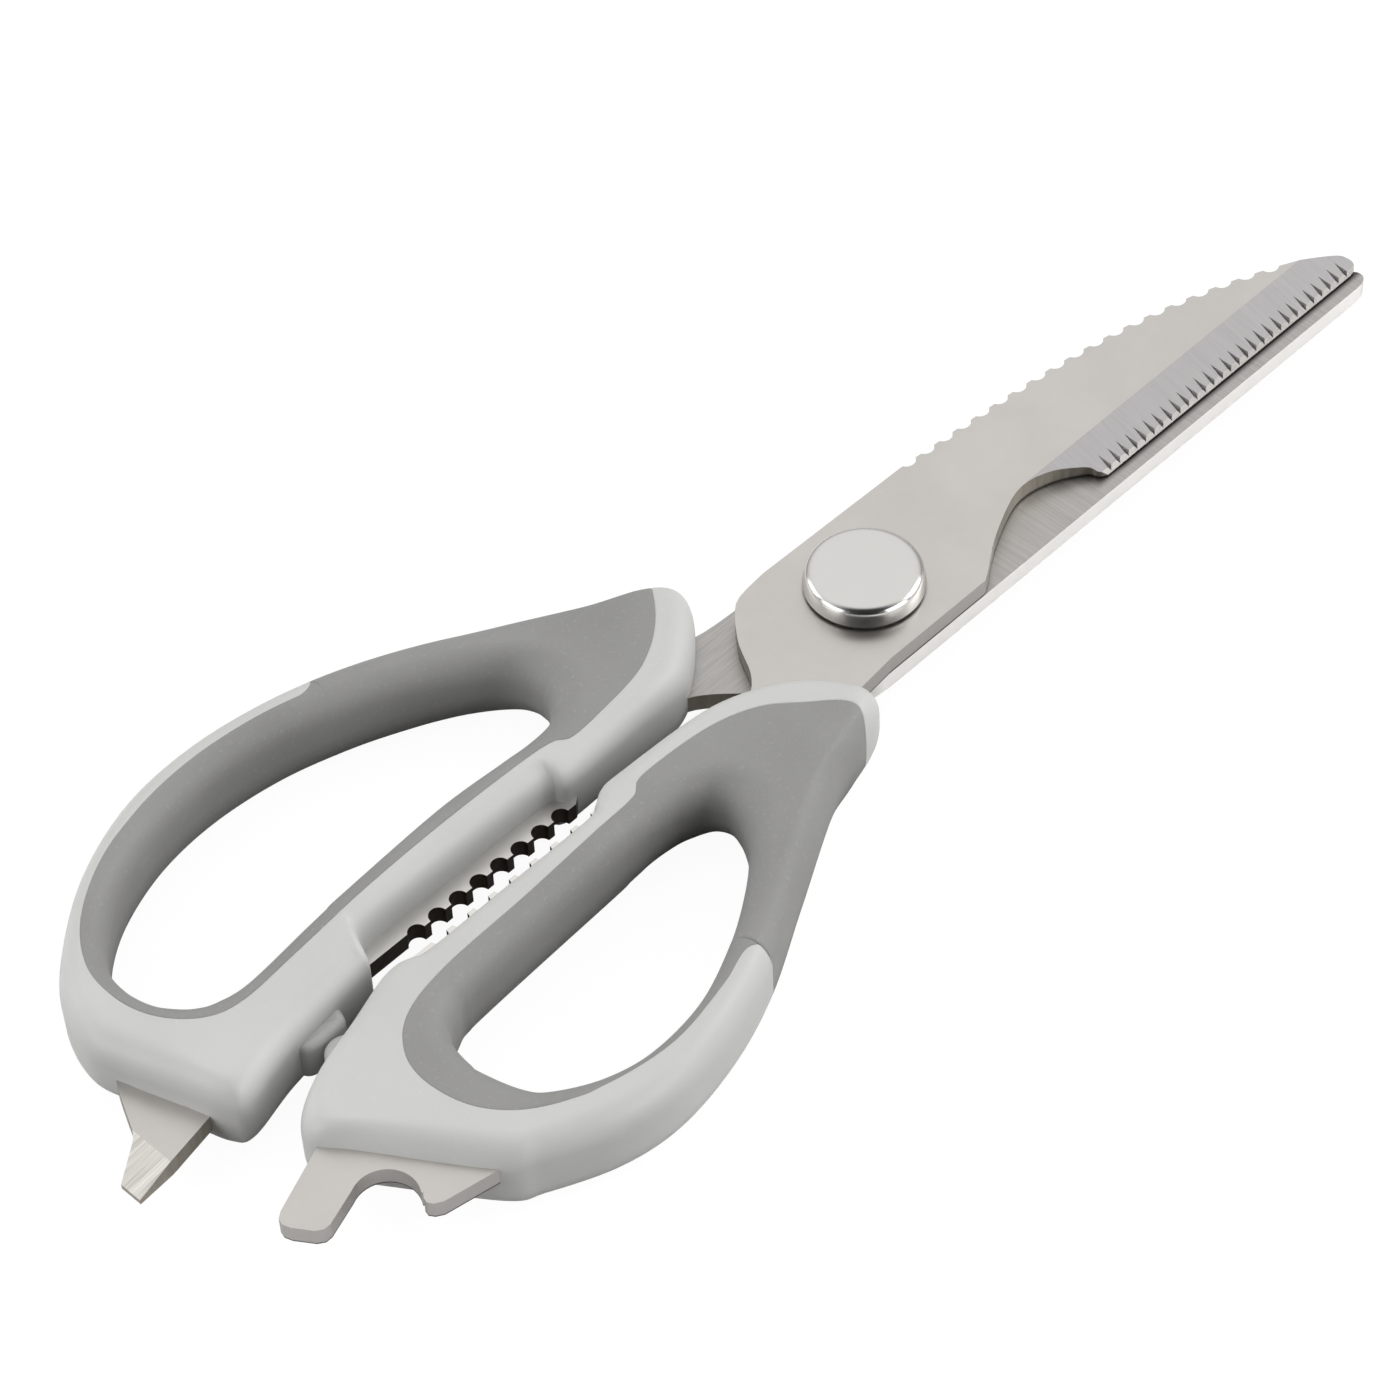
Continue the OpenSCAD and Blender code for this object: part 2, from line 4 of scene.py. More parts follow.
import bpy
import numpy as np
from mathutils import Matrix, Vector


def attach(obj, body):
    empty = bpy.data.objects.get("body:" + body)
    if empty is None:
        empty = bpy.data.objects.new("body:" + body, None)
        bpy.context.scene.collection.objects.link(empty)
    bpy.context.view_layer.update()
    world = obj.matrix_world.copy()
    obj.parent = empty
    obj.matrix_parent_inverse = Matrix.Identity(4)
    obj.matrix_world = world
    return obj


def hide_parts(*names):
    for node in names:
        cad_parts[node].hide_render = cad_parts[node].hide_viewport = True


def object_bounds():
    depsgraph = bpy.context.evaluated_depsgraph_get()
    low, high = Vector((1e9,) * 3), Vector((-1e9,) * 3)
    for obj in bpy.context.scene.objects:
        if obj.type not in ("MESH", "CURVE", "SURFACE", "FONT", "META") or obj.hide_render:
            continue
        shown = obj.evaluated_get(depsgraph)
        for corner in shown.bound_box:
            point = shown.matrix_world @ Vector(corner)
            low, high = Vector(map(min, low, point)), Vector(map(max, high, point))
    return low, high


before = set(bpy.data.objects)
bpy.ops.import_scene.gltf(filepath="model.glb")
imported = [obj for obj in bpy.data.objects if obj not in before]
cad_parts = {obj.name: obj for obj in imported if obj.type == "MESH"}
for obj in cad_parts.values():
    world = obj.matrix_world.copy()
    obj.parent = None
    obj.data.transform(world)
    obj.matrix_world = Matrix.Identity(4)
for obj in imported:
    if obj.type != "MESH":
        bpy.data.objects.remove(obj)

MM = 0.001
HANDLE_H = 14.0
BLADE_TOP = 10.1
cad_box = [list(corner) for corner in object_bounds()]
CAD_LOW, CAD_HIGH = (np.array(corner[:2]) / MM for corner in cad_box)

# Millimetres: the crease at a seam, the gap between grip and shell there, the narrowest strip of shell,
# how far the skins keep inside the CAD box, and the heights and edge radius of the two stops.
# ROLL_SHARE: the most of a section's width that its two rolled edges take up together.
SEAM_DEPTH, SEAM_W = 0.09, 0.34
SEAM_STEPS = np.array([0, 0.07, 0.15, 0.24, SEAM_W])
SEAM_GAP = 0.02
MIN_STRIP = 0.12
BOX_CLEAR = 0.002
STOP_LOW, STOP_HIGH, STOP_EDGE = 2.6, 9.4, 1.1
ROLL_SHARE = 0.999

# ---------------------------------------------------------------- handles: sections and seams, in millimetres
# Each row is one section round a loop, counter-clockwise from the nose: outer x and y, hole x and y,
# how far the outer edge rolls in and down, and how far the hole's edge rolls in and down.
FINGER_SECTIONS = np.array([
    [-19.6, 17.6, -46.2, 20.5, 4.2, 5.0, 6.0, 6.2],
    [-22, 20.8, -46.3, 23, 4.2, 5.0, 6.0, 6.2],
    [-30, 24.6, -47.8, 26.3, 4.2, 5.0, 5.6, 6.0],
    [-42, 32.3, -51.2, 29.2, 4.0, 4.8, 4.6, 5.4],
    [-54, 39.4, -57.5, 33.2, 3.5, 4.6, 3.6, 4.6],
    [-66, 44.6, -67, 37.5, 3.5, 4.4, 3.5, 4.4],
    [-78, 47.7, -78, 40.8, 3.4, 4.4, 3.4, 4.4],
    [-90, 48.8, -90, 42, 3.4, 4.4, 3.4, 4.4],
    [-102, 47.3, -101, 40.8, 3.3, 4.4, 3.3, 4.4],
    [-114, 42.3, -111, 37.2, 3.2, 4.4, 3.2, 4.4],
    [-124, 34.8, -118, 32.4, 3.2, 4.4, 3.2, 4.4],
    [-130, 28, -121.8, 27.5, 3.8, 4.6, 3.2, 4.2],
    [-132.6, 20, -122.8, 22.5, 4.2, 4.8, 3.0, 4.0],
    [-131, 13, -122, 18, 4.4, 4.8, 3.0, 4.0],
    [-128.4, 5, -120.2, 15, 4.4, 4.6, 3.0, 4.0],
    [-126.3, -1, -118.4, 13.2, 4.0, 4.4, 3.0, 4.0],
    [-123.6, -2.8, -116, 12, 4.0, 4.4, 3.0, 4.0],
    [-114, -0.6, -111, 11.4, 4.0, 4.4, 3.2, 4.2],
    [-100, 1.2, -100, 12.6, 4.0, 4.4, 3.2, 4.4],
    [-97.3, 1.7, -97, 12.9, 3.4, 4.4, 3.2, 4.4],
    [-95.4, 5.7, -95, 13.1, 3.2, 4.4, 3.2, 4.4],
    [-92.5, 6.9, -92.5, 13.4, 3.2, 4.4, 3.2, 4.4],
    [-73, 6.9, -73, 14.5, 3.6, 4.4, 3.4, 4.4],
    [-61, 6.9, -61, 14, 3.6, 4.4, 3.4, 4.4],
    [-57.8, 6.4, -58, 13.8, 3.6, 4.4, 3.4, 4.4],
    [-55.5, 4.7, -55.5, 13.8, 3.8, 4.4, 3.6, 4.6],
    [-42, 5, -51, 14.6, 4.2, 5.0, 5.0, 5.6],
    [-33.5, 5.2, -48.4, 16.4, 4.4, 5.2, 5.8, 6.0],
    [-28.5, 7.4, -47, 18, 4.4, 5.2, 6.0, 6.2],
    [-22.1, 13, -46.4, 19.4, 4.4, 5.2, 6.0, 6.2],
])
THUMB_SECTIONS = np.array([
    [-15.1, -15.8, -43.9, -14.2, 4.6, 5.4, 6.0, 6.2],
    [-16.4, -12, -44.4, -12.4, 4.0, 5.0, 6.0, 6.2],
    [-21.4, -6.1, -45.6, -11.2, 4.0, 5.0, 6.0, 6.2],
    [-29.6, -1.7, -47.8, -10.3, 4.0, 5.0, 5.4, 6.0],
    [-38, 0, -50, -9.7, 4.0, 5.0, 4.8, 5.6],
    [-51, 0.8, -54, -9.4, 4.0, 4.8, 4.0, 5.0],
    [-54.4, 0.4, -56, -9.4, 3.6, 4.6, 3.6, 4.8],
    [-57, -1.15, -58.4, -9.5, 3.0, 4.4, 3.4, 4.8],
    [-60, -2.45, -61, -9.6, 2.4, 4.0, 2.9, 4.6],
    [-78, -2.65, -78, -10.6, 2.4, 3.8, 3.4, 4.8],
    [-91, -2.65, -89, -11.3, 2.6, 3.8, 3.8, 4.8],
    [-93.8, -1.65, -91.6, -11.6, 3.0, 4.2, 3.8, 4.8],
    [-95.6, -1, -93.2, -11.9, 3.4, 4.2, 4.0, 4.8],
    [-99, -1.4, -95, -12.8, 3.6, 4.2, 4.2, 5.0],
    [-106, -3.6, -97.6, -14.2, 3.8, 4.4, 4.4, 5.0],
    [-115, -6.4, -98.7, -16.2, 3.8, 4.6, 4.6, 5.2],
    [-121, -9.8, -99.2, -18.5, 4.0, 4.8, 4.6, 5.2],
    [-122.7, -13.6, -99.4, -20.5, 4.2, 5.0, 4.6, 5.2],
    [-119.2, -19, -99.4, -22.5, 4.4, 5.0, 4.6, 5.2],
    [-109, -34.6, -97.8, -28.5, 4.2, 4.8, 4.2, 5.0],
    [-104, -38, -95.6, -31.6, 4.0, 4.6, 4.0, 4.8],
    [-94, -42.5, -89.5, -35.2, 3.8, 4.6, 3.8, 4.6],
    [-84, -44, -82, -36.8, 3.7, 4.6, 3.6, 4.6],
    [-72, -42.2, -72, -35.8, 3.2, 4.6, 3.2, 4.6],
    [-60, -38, -62, -31.8, 3.2, 4.6, 3.2, 4.6],
    [-46, -30.5, -54, -27, 3.8, 4.6, 4.2, 5.0],
    [-30, -22.2, -48.2, -22.4, 6.6, 6.2, 5.6, 6.0],
    [-21.8, -19.8, -45.6, -19, 7.0, 6.4, 6.0, 6.2],
    [-16.9, -18.2, -44.3, -16.2, 5.8, 6.0, 6.0, 6.2],
])

# Lines on the handles where the soft grip meets the shell, and the corners that close each area outside
FINGER_SEAM = np.array([
    [-20.8, 24], [-23.4, 20.2], [-27, 15.9], [-31.5, 12.4], [-37, 10], [-45, 8.8], [-51.5, 8.4],
    [-54, 9.8], [-60, 10.4], [-75, 10.6], [-90, 10.1], [-104, 8.9], [-114, 8.2], [-119.5, 9.8],
    [-123.8, 14.6], [-125.6, 21], [-124.4, 28.6], [-119.6, 35.2], [-111, 40.9], [-101, 44],
    [-90, 45.1], [-79, 44.3], [-72.2, 42.7], [-69.6, 43.1], [-68.6, 44.6], [-68.4, 47],
])
FINGER_COVER = np.array([[-68.4, 60], [-10, 60], [-10, 24]])
THUMB_SEAM = np.array([
    [-27, -24.6], [-23, -21.5], [-20.9, -19.4], [-20.2, -17.2], [-21.2, -14.8], [-24.6, -11.6],
    [-30, -7], [-38, -4.4], [-50, -3.8], [-53.6, -5.6],
    [-62, -6.1], [-76, -7], [-92, -7.7], [-101, -9.8], [-105.8, -14.4], [-107.1, -20.4],
    [-105.4, -27.6], [-100.4, -33.4], [-92, -37.4], [-81, -39.3], [-71, -38], [-63.6, -35.8],
    [-61, -36], [-60, -37.2], [-60.4, -40.5],
])
THUMB_COVER = np.array([[-62, -54], [-27, -54]])


def smooth(points, steps, closed):
    """Catmull-Rom curve through the points: on each span a cubic in t set by the points either side."""
    p = np.asarray(points, float)
    n = len(p)
    index = np.arange(n if closed else n - 1)
    pick = (lambda k: p[(index + k) % n]) if closed else (lambda k: p[np.clip(index + k, 0, n - 1)])
    a, b, c, d = (pick(k)[:, None, :] for k in (-1, 0, 1, 2))
    t = (np.arange(steps) / steps)[None, :, None]
    q = b + 0.5 * t * (c - a + t * (2 * a - 5 * b + 4 * c - d + t * (3 * (b - c) + d - a)))
    q = q.reshape(-1, p.shape[1])
    return q if closed else np.vstack([q, p[-1:]])


def seam_reach(sections, area):
    """How far in from the outer edge each section meets the seam; -1 where the grip covers it all.

    Each section's straight line is crossed with every side of the closed area, and the first crossing
    inside the section counts. A section with none, whose outer point is inside the area, is covered."""
    o, h = sections[:, None, 0:2], sections[:, None, 2:4]
    a, b = area[None, :, :], np.roll(area, -1, 0)[None, :, :]
    d, e = h - o, b - a
    cross = d[..., 0] * e[..., 1] - d[..., 1] * e[..., 0]
    cross = np.where(np.abs(cross) < 1e-9, 1e-9, cross)
    g = a - o
    s = (g[..., 0] * e[..., 1] - g[..., 1] * e[..., 0]) / cross
    t = (g[..., 0] * d[..., 1] - g[..., 1] * d[..., 0]) / cross
    s = np.where((t >= 0) & (t < 1) & (s > 0) & (s < 1), s, np.inf).min(1)
    width = np.linalg.norm(sections[:, 2:4] - sections[:, 0:2], axis=1)
    return np.where(np.isfinite(s), s * width, -1.0)


def even_sections(table, area, step=0.5, fine_step=0.12, near=1.2):
    """Sections of a loop at even steps along its middle line, closer at the ends of the shell's strip."""
    curve = smooth(table, 60, True)
    middle = (curve[:, 0:2] + curve[:, 2:4]) / 2
    length = np.concatenate([[0], np.cumsum(np.linalg.norm(np.roll(middle, -1, 0) - middle, axis=1))])
    wrapped = np.vstack([curve, curve[:1]])
    covered = seam_reach(wrapped, area) < 0
    ends = length[1:][covered[1:] != covered[:-1]]
    at = np.arange(0, length[-1], step)
    for end in ends:
        at = at[np.abs(at - end) > near]
        at = np.concatenate([at, end + np.arange(-near, near, fine_step)])
    at = np.unique(at % length[-1])
    out = np.stack([np.interp(at, length, wrapped[:, k]) for k in range(wrapped.shape[1])], 1)
    reach = seam_reach(out, area)
    first = np.argmax(reach < 0)
    out, reach = np.roll(out, -first, 0), np.roll(reach, -first)
    return out, reach


def groove(distance):
    """Depth of the fine crease at a seam: it falls off as the square of what is left of its width."""
    return SEAM_DEPTH * np.clip(1 - distance / SEAM_W, 0, 1) ** 2


def solid(name, points, faces):
    """Closed mesh of points in millimetres, outward by the sign of its volume, smooth but for sharp bends."""
    mesh = bpy.data.meshes.new(name)
    mesh.from_pydata((points * MM).tolist(), [], faces)
    mesh.update()
    mesh.calc_loop_triangles()
    tri = np.empty(len(mesh.loop_triangles) * 3, int)
    mesh.loop_triangles.foreach_get("vertices", tri)
    a, b, c = points[tri.reshape(-1, 3)].transpose(1, 0, 2)
    if np.einsum("ij,ij->", a, np.cross(b, c)) < 0:
        mesh.flip_normals()
    mesh.polygons.foreach_set("use_smooth", [True] * len(mesh.polygons))
    mesh.set_sharp_from_angle(angle=math.radians(38))
    obj = bpy.data.objects.new(name, mesh)
    bpy.context.scene.collection.objects.link(obj)
    return obj


def rings_mesh(name, points, closed):
    """Mesh of rings, each closed on itself: quads join a ring to the next, and open ends get a cap."""
    m, k = points.shape[:2]
    rows = np.arange(m if closed else m - 1)[:, None]
    cols = np.arange(k)[None, :]
    here, there, turn = rows * k, (rows + 1) % m * k, (cols + 1) % k
    faces = np.stack([here + cols, there + cols, there + turn, here + turn], -1).reshape(-1, 4).tolist()
    if not closed:
        faces.append(list(range(k))[::-1])
        faces.append(list(range((m - 1) * k, m * k)))
    return solid(name, points.reshape(-1, 3), faces)


def place(sections, along, z):
    """Points at the distance along from each section's outer point towards its hole point, at height z."""
    o, h = sections[:, None, 0:2], sections[:, None, 2:4]
    d = (h - o) / np.linalg.norm(h - o, axis=2, keepdims=True)
    plan = np.clip(o + d * along[..., None], CAD_LOW + BOX_CLEAR, CAD_HIGH - BOX_CLEAR)
    return np.concatenate([plan, z[..., None]], 2)


def grip_skin(name, sections, reach):
    """Soft grip: from the seam over the top, round the hole's edge and back beneath, closed inside the shell.

    Across the top the path is an arc of the outer roll (where no shell covers it), a flat, and an arc of the
    hole's roll, each an ellipse quarter; points are spread evenly by length. Both faces mirror each other."""
    w = np.linalg.norm(sections[:, 2:4] - sections[:, 0:2], axis=1)[:, None]
    ao, bo, ah, bh = (sections[:, k][:, None] for k in (4, 5, 6, 7))
    share = np.minimum(1, w / (ao + ah) * ROLL_SHARE)
    ao, ah = ao * share, ah * share
    s0 = np.maximum(reach, 0)[:, None]
    ro, rh = (ao + bo) / 2, (ah + bh) / 2
    start = np.arcsin(np.clip(1 - s0 / ao, 0, 1))
    la = ro * start
    base = np.maximum(s0, ao)
    lb = np.maximum(w - ah - base, 0)
    lc = rh * np.pi / 2
    total = la + lb + lc
    near = SEAM_STEPS[None, :]
    rest = np.linspace(0, 1, 40)[None, 1:]
    dist = np.concatenate([np.broadcast_to(near, (len(w), 5)), SEAM_W + rest * (total - SEAM_W)], 1)
    phi_a = start - dist / ro
    phi_c = (dist - la - lb) / rh
    in_a, in_c = dist < la, dist > la + lb
    inner = np.where(in_c, w - ah + ah * np.sin(phi_c), base + dist - la)
    s = np.where(in_a, ao * (1 - np.sin(phi_a)), inner)
    drop = np.where(in_a, bo * (1 - np.cos(phi_a)), np.where(in_c, bh * (1 - np.cos(phi_c)), 0))
    seam = np.where(reach[:, None] > 0, groove(dist), 0)
    s = s + np.where(reach[:, None] > 0, SEAM_GAP, 0)
    top = HANDLE_H - drop - seam
    wall_h = np.linspace(0, 1, 8)[None, 1:-1]
    hole_s = np.broadcast_to(w, (len(w), 6))
    hole_z = (HANDLE_H - bh) + (2 * bh - HANDLE_H) * wall_h
    inner_s = np.broadcast_to(s[:, :1], (len(w), 6))
    inner_z = (HANDLE_H - top[:, :1]) + (2 * top[:, :1] - HANDLE_H) * wall_h
    along = np.concatenate([s, hole_s, s[:, ::-1], inner_s], 1)
    height = np.concatenate([top, hole_z, HANDLE_H - top[:, ::-1], inner_z], 1)
    return rings_mesh(name, place(sections, along, height), True)


def shell_skin(name, sections, reach):
    """Hard shell: from the seam over the outer roll, down the flank and back beneath, closed at the seam."""
    keep = reach > MIN_STRIP
    sections, reach = sections[keep], reach[keep]
    w = np.linalg.norm(sections[:, 2:4] - sections[:, 0:2], axis=1)[:, None]
    ao, bo, ah = (sections[:, k][:, None] for k in (4, 5, 6))
    ao = ao * np.minimum(1, w / (ao + ah) * ROLL_SHARE)
    s1 = reach[:, None]
    ro = (ao + bo) / 2
    start = np.arcsin(np.clip(1 - s1 / ao, 0, 1))
    lb = np.maximum(s1 - ao, 0)
    total = lb + ro * (np.pi / 2 - start)
    near = np.minimum(SEAM_STEPS[None, :], total * np.linspace(0, 0.5, 5)[None, :])
    rest = np.linspace(0, 1, 32)[None, 1:]
    dist = np.concatenate([near, near[:, -1:] + rest * (total - near[:, -1:])], 1)
    phi = start + (dist - lb) / ro
    flat = dist < lb
    s = np.where(flat, s1 - dist, ao * (1 - np.sin(phi)))
    drop = np.where(flat, 0, bo * (1 - np.cos(phi)))
    top = HANDLE_H - drop - groove(dist)
    wall_h = np.linspace(0, 1, 12)[None, 1:-1]
    flank_s = np.zeros((len(w), 10))
    flank_z = (HANDLE_H - bo) + (2 * bo - HANDLE_H) * wall_h
    inner_s = np.broadcast_to(s[:, :1] - SEAM_GAP, (len(w), 10))
    inner_z = (HANDLE_H - top[:, :1]) + (2 * top[:, :1] - HANDLE_H) * wall_h
    along = np.concatenate([s, flank_s, s[:, ::-1], inner_s], 1)
    height = np.concatenate([top, flank_z, HANDLE_H - top[:, ::-1], inner_z], 1)
    return rings_mesh(name, place(sections, along, height), False)


def lathe(name, profile, turns=160):
    """Round piece about the pivot axis: the profile of radius and height is turned through a full circle.

    The profile runs from one pole on the axis to the other; a fan of triangles meets at each pole's point."""
    profile = np.asarray(profile, float)
    a = np.linspace(0, 2 * np.pi, turns, endpoint=False)[:, None]
    r, z = profile[None, 1:-1, 0], profile[None, 1:-1, 1]
    k = r.shape[1]
    rings = np.stack([r * np.cos(a), r * np.sin(a), np.broadcast_to(z, (turns, k))], -1).reshape(-1, 3)
    points = np.vstack([rings, [[0, 0, profile[0, 1]], [0, 0, profile[-1, 1]]]])
    i = np.arange(turns)[:, None]
    j = np.arange(k - 1)[None, :]
    here, there = i * k + j, (i + 1) % turns * k + j
    quads = np.stack([here, there, there + 1, here + 1], -1).reshape(-1, 4)
    i = i[:, 0]
    low = np.stack([np.full(turns, turns * k), (i + 1) % turns * k, i * k], -1)
    high = np.stack([np.full(turns, turns * k + 1), i * k + k - 1, (i + 1) % turns * k + k - 1], -1)
    return solid(name, points, quads.tolist() + low.tolist() + high.tolist())


def arc(cx, cz, rx, rz, start, stop, n=10):
    """Points of an ellipse arc about (cx, cz) between two angles in degrees."""
    t = np.radians(np.linspace(start, stop, n))
    return np.stack([cx + rx * np.cos(t), cz + rz * np.sin(t)], 1)


def boss(name, outline, low, high, edge):
    """Solid of a smooth outline with quarter arcs for upper and lower edges: each ring is it drawn in."""
    p = smooth(outline, 6, True)
    t = np.roll(p, -1, 0) - np.roll(p, 1, 0)
    n = np.stack([t[:, 1], -t[:, 0]], 1) / np.linalg.norm(t, axis=1, keepdims=True)
    n *= np.sign(np.sum(p[:, 0] * np.roll(p[:, 1], -1) - p[:, 1] * np.roll(p[:, 0], -1)))
    a = np.radians(np.linspace(0, 90, 7))
    inset = edge * np.concatenate([1 - np.sin(a), 1 - np.cos(a)])
    z = np.concatenate([low + edge * (1 - np.cos(a)), high - edge * (1 - np.sin(a))])
    rings = p[None] - n[None] * inset[:, None, None]
    points = np.concatenate([rings, np.broadcast_to(z[:, None, None], rings.shape[:2] + (1,))], 2)
    return rings_mesh(name, points, False)


# ---------------------------------------------------------------- materials
class Finish:
    """A material and short ways to add and join its nodes."""

    def __init__(self, name, **inputs):
        self.mat = bpy.data.materials.new(name)
        self.mat.use_nodes = True
        self.tree = self.mat.node_tree
        self.shader = self.tree.nodes["Principled BSDF"] if "Principled BSDF" in self.tree.nodes else None
        if self.shader is None:
            self.shader = self.tree.nodes.new("ShaderNodeBsdfPrincipled")
        for key, value in inputs.items():
            self.shader.inputs[key.replace("_", " ")].default_value = value
        self.coord = self.tree.nodes.new("ShaderNodeTexCoord").outputs["Object"]
        self.normal = self.tree.nodes.new("ShaderNodeNewGeometry").outputs["Normal"]

    def put(self, socket, value):
        if isinstance(value, bpy.types.NodeSocket):
            self.tree.links.new(value, socket)
        else:
            socket.default_value = value

    def node(self, kind, out=0, **inputs):
        n = self.tree.nodes.new("ShaderNode" + kind)
        for key, value in inputs.items():
            if key.startswith("set_"):
                setattr(n, key[4:], value)
        for key, value in inputs.items():
            if not key.startswith("set_"):
                numbered = key[0] == "i" and key[1:].isdigit()
                self.put(n.inputs[int(key[1:]) if numbered else key.replace("_", " ")], value)
        return n.outputs[out]

    def split(self, vector):
        n = self.tree.nodes.new("ShaderNodeSeparateXYZ")
        self.put(n.inputs[0], vector)
        return n.outputs

    def math(self, op, a, b=0.0, c=0.0, clamp=False):
        return self.node("Math", set_operation=op, set_use_clamp=clamp, i0=a, i1=b, i2=c)

    def noise(self, scale, detail=2.0, rough=0.5, turn=(0, 0, 0), at=None):
        v = self.node("Mapping", Vector=at or self.coord, Rotation=turn, Scale=scale)
        return self.node("TexNoise", Vector=v, Scale=1.0, Detail=detail, Roughness=rough)

    def span(self, value, low, high, to_low=0.0, to_high=1.0):
        return self.node("MapRange", Value=value, From_Min=low, From_Max=high, To_Min=to_low, To_Max=to_high)

    def tint(self, fac, a, b):
        n = self.tree.nodes.new("ShaderNodeMix")
        n.data_type = "RGBA"
        self.put(n.inputs[0], fac)
        self.put(n.inputs[6], a)
        self.put(n.inputs[7], b)
        return n.outputs[2]

    def blend(self, fac, a, b):
        n = self.tree.nodes.new("ShaderNodeMix")
        self.put(n.inputs[0], fac)
        self.put(n.inputs[2], a)
        self.put(n.inputs[3], b)
        return n.outputs[0]

    def bump(self, height, distance, strength=1.0, over=None):
        n = self.tree.nodes.new("ShaderNodeBump")
        n.inputs["Strength"].default_value = strength
        n.inputs["Distance"].default_value = distance
        self.put(n.inputs["Height"], height)
        if over is not None:
            self.put(n.inputs["Normal"], over)
        return n.outputs[0]


def shell_plastic():
    """Light grey moulded plastic: flow mottling, fine grain, rubbed spots, and painted shade that darkens it
    near its underside.
    """
    f = Finish("shell_plastic", Roughness=0.4, IOR=1.46)
    f.shader.inputs["Subsurface Weight"].default_value = 0.08
    f.shader.inputs["Subsurface Radius"].default_value = (0.002, 0.002, 0.0018)
    flow = f.noise((45, 45, 70), 3)
    grain = f.noise((2600, 2600, 2600), 2)
    speck = f.noise((1300, 1300, 1300), 2, 0.7)
    rub = f.noise((260, 260, 260), 4, 0.65)
    colour = f.tint(f.span(flow, 0.3, 0.7), (0.62, 0.623, 0.612, 1), (0.662, 0.665, 0.654, 1))
    colour = f.tint(f.span(speck, 0.66, 0.8, 0, 0.35), colour, (0.84, 0.84, 0.83, 1))
    colour = f.tint(f.span(rub, 0.68, 0.8, 0, 0.3), colour, (0.58, 0.57, 0.55, 1))
    # painted shade: the colour darkens over the lowest 3 mm towards the underside
    colour = f.tint(f.span(f.split(f.coord)[2], 0.0, 0.003, 0.3, 0), colour, (0.42, 0.41, 0.39, 1))
    f.put(f.shader.inputs["Base Color"], colour)
    rough = f.math("ADD", f.span(rub, 0.35, 0.75, 0.34, 0.46), f.math("MULTIPLY", grain, 0.05))
    f.put(f.shader.inputs["Roughness"], rough)
    f.put(f.shader.inputs["Normal"], f.bump(grain, 0.00002, 0.5, f.bump(flow, 0.0002, 0.25)))
    return f.mat


def soft_grip():
    """Mid grey soft-touch rubber: matt, with a fine light speckle and a velvet sheen, and painted shade that
    darkens it low down.
    """
    f = Finish("soft_grip", IOR=1.48, Sheen_Weight=0.12, Sheen_Roughness=0.5)
    flow = f.noise((60, 60, 60), 3)
    speck = f.noise((1500, 1500, 1500), 2, 0.7)
    dust = f.noise((420, 420, 420), 3, 0.8)
    colour = f.tint(f.span(flow, 0.3, 0.7), (0.28, 0.279, 0.275, 1), (0.32, 0.319, 0.315, 1))
    colour = f.tint(f.span(speck, 0.58, 0.78, 0, 0.45), colour, (0.45, 0.45, 0.45, 1))
    colour = f.tint(f.span(dust, 0.7, 0.86, 0, 0.5), colour, (0.5, 0.5, 0.5, 1))
    # painted shade: the colour darkens to near-black over the lowest 6 mm
    colour = f.tint(f.span(f.split(f.coord)[2], 0.0, 0.006, 0.7, 0), colour, (0.08, 0.078, 0.075, 1))
    f.put(f.shader.inputs["Base Color"], colour)
    f.put(f.shader.inputs["Roughness"], f.span(speck, 0.25, 0.8, 0.5, 0.66))
    f.put(f.shader.inputs["Normal"], f.bump(speck, 0.00004, 0.5, f.bump(flow, 0.0002, 0.2)))
    return f.mat


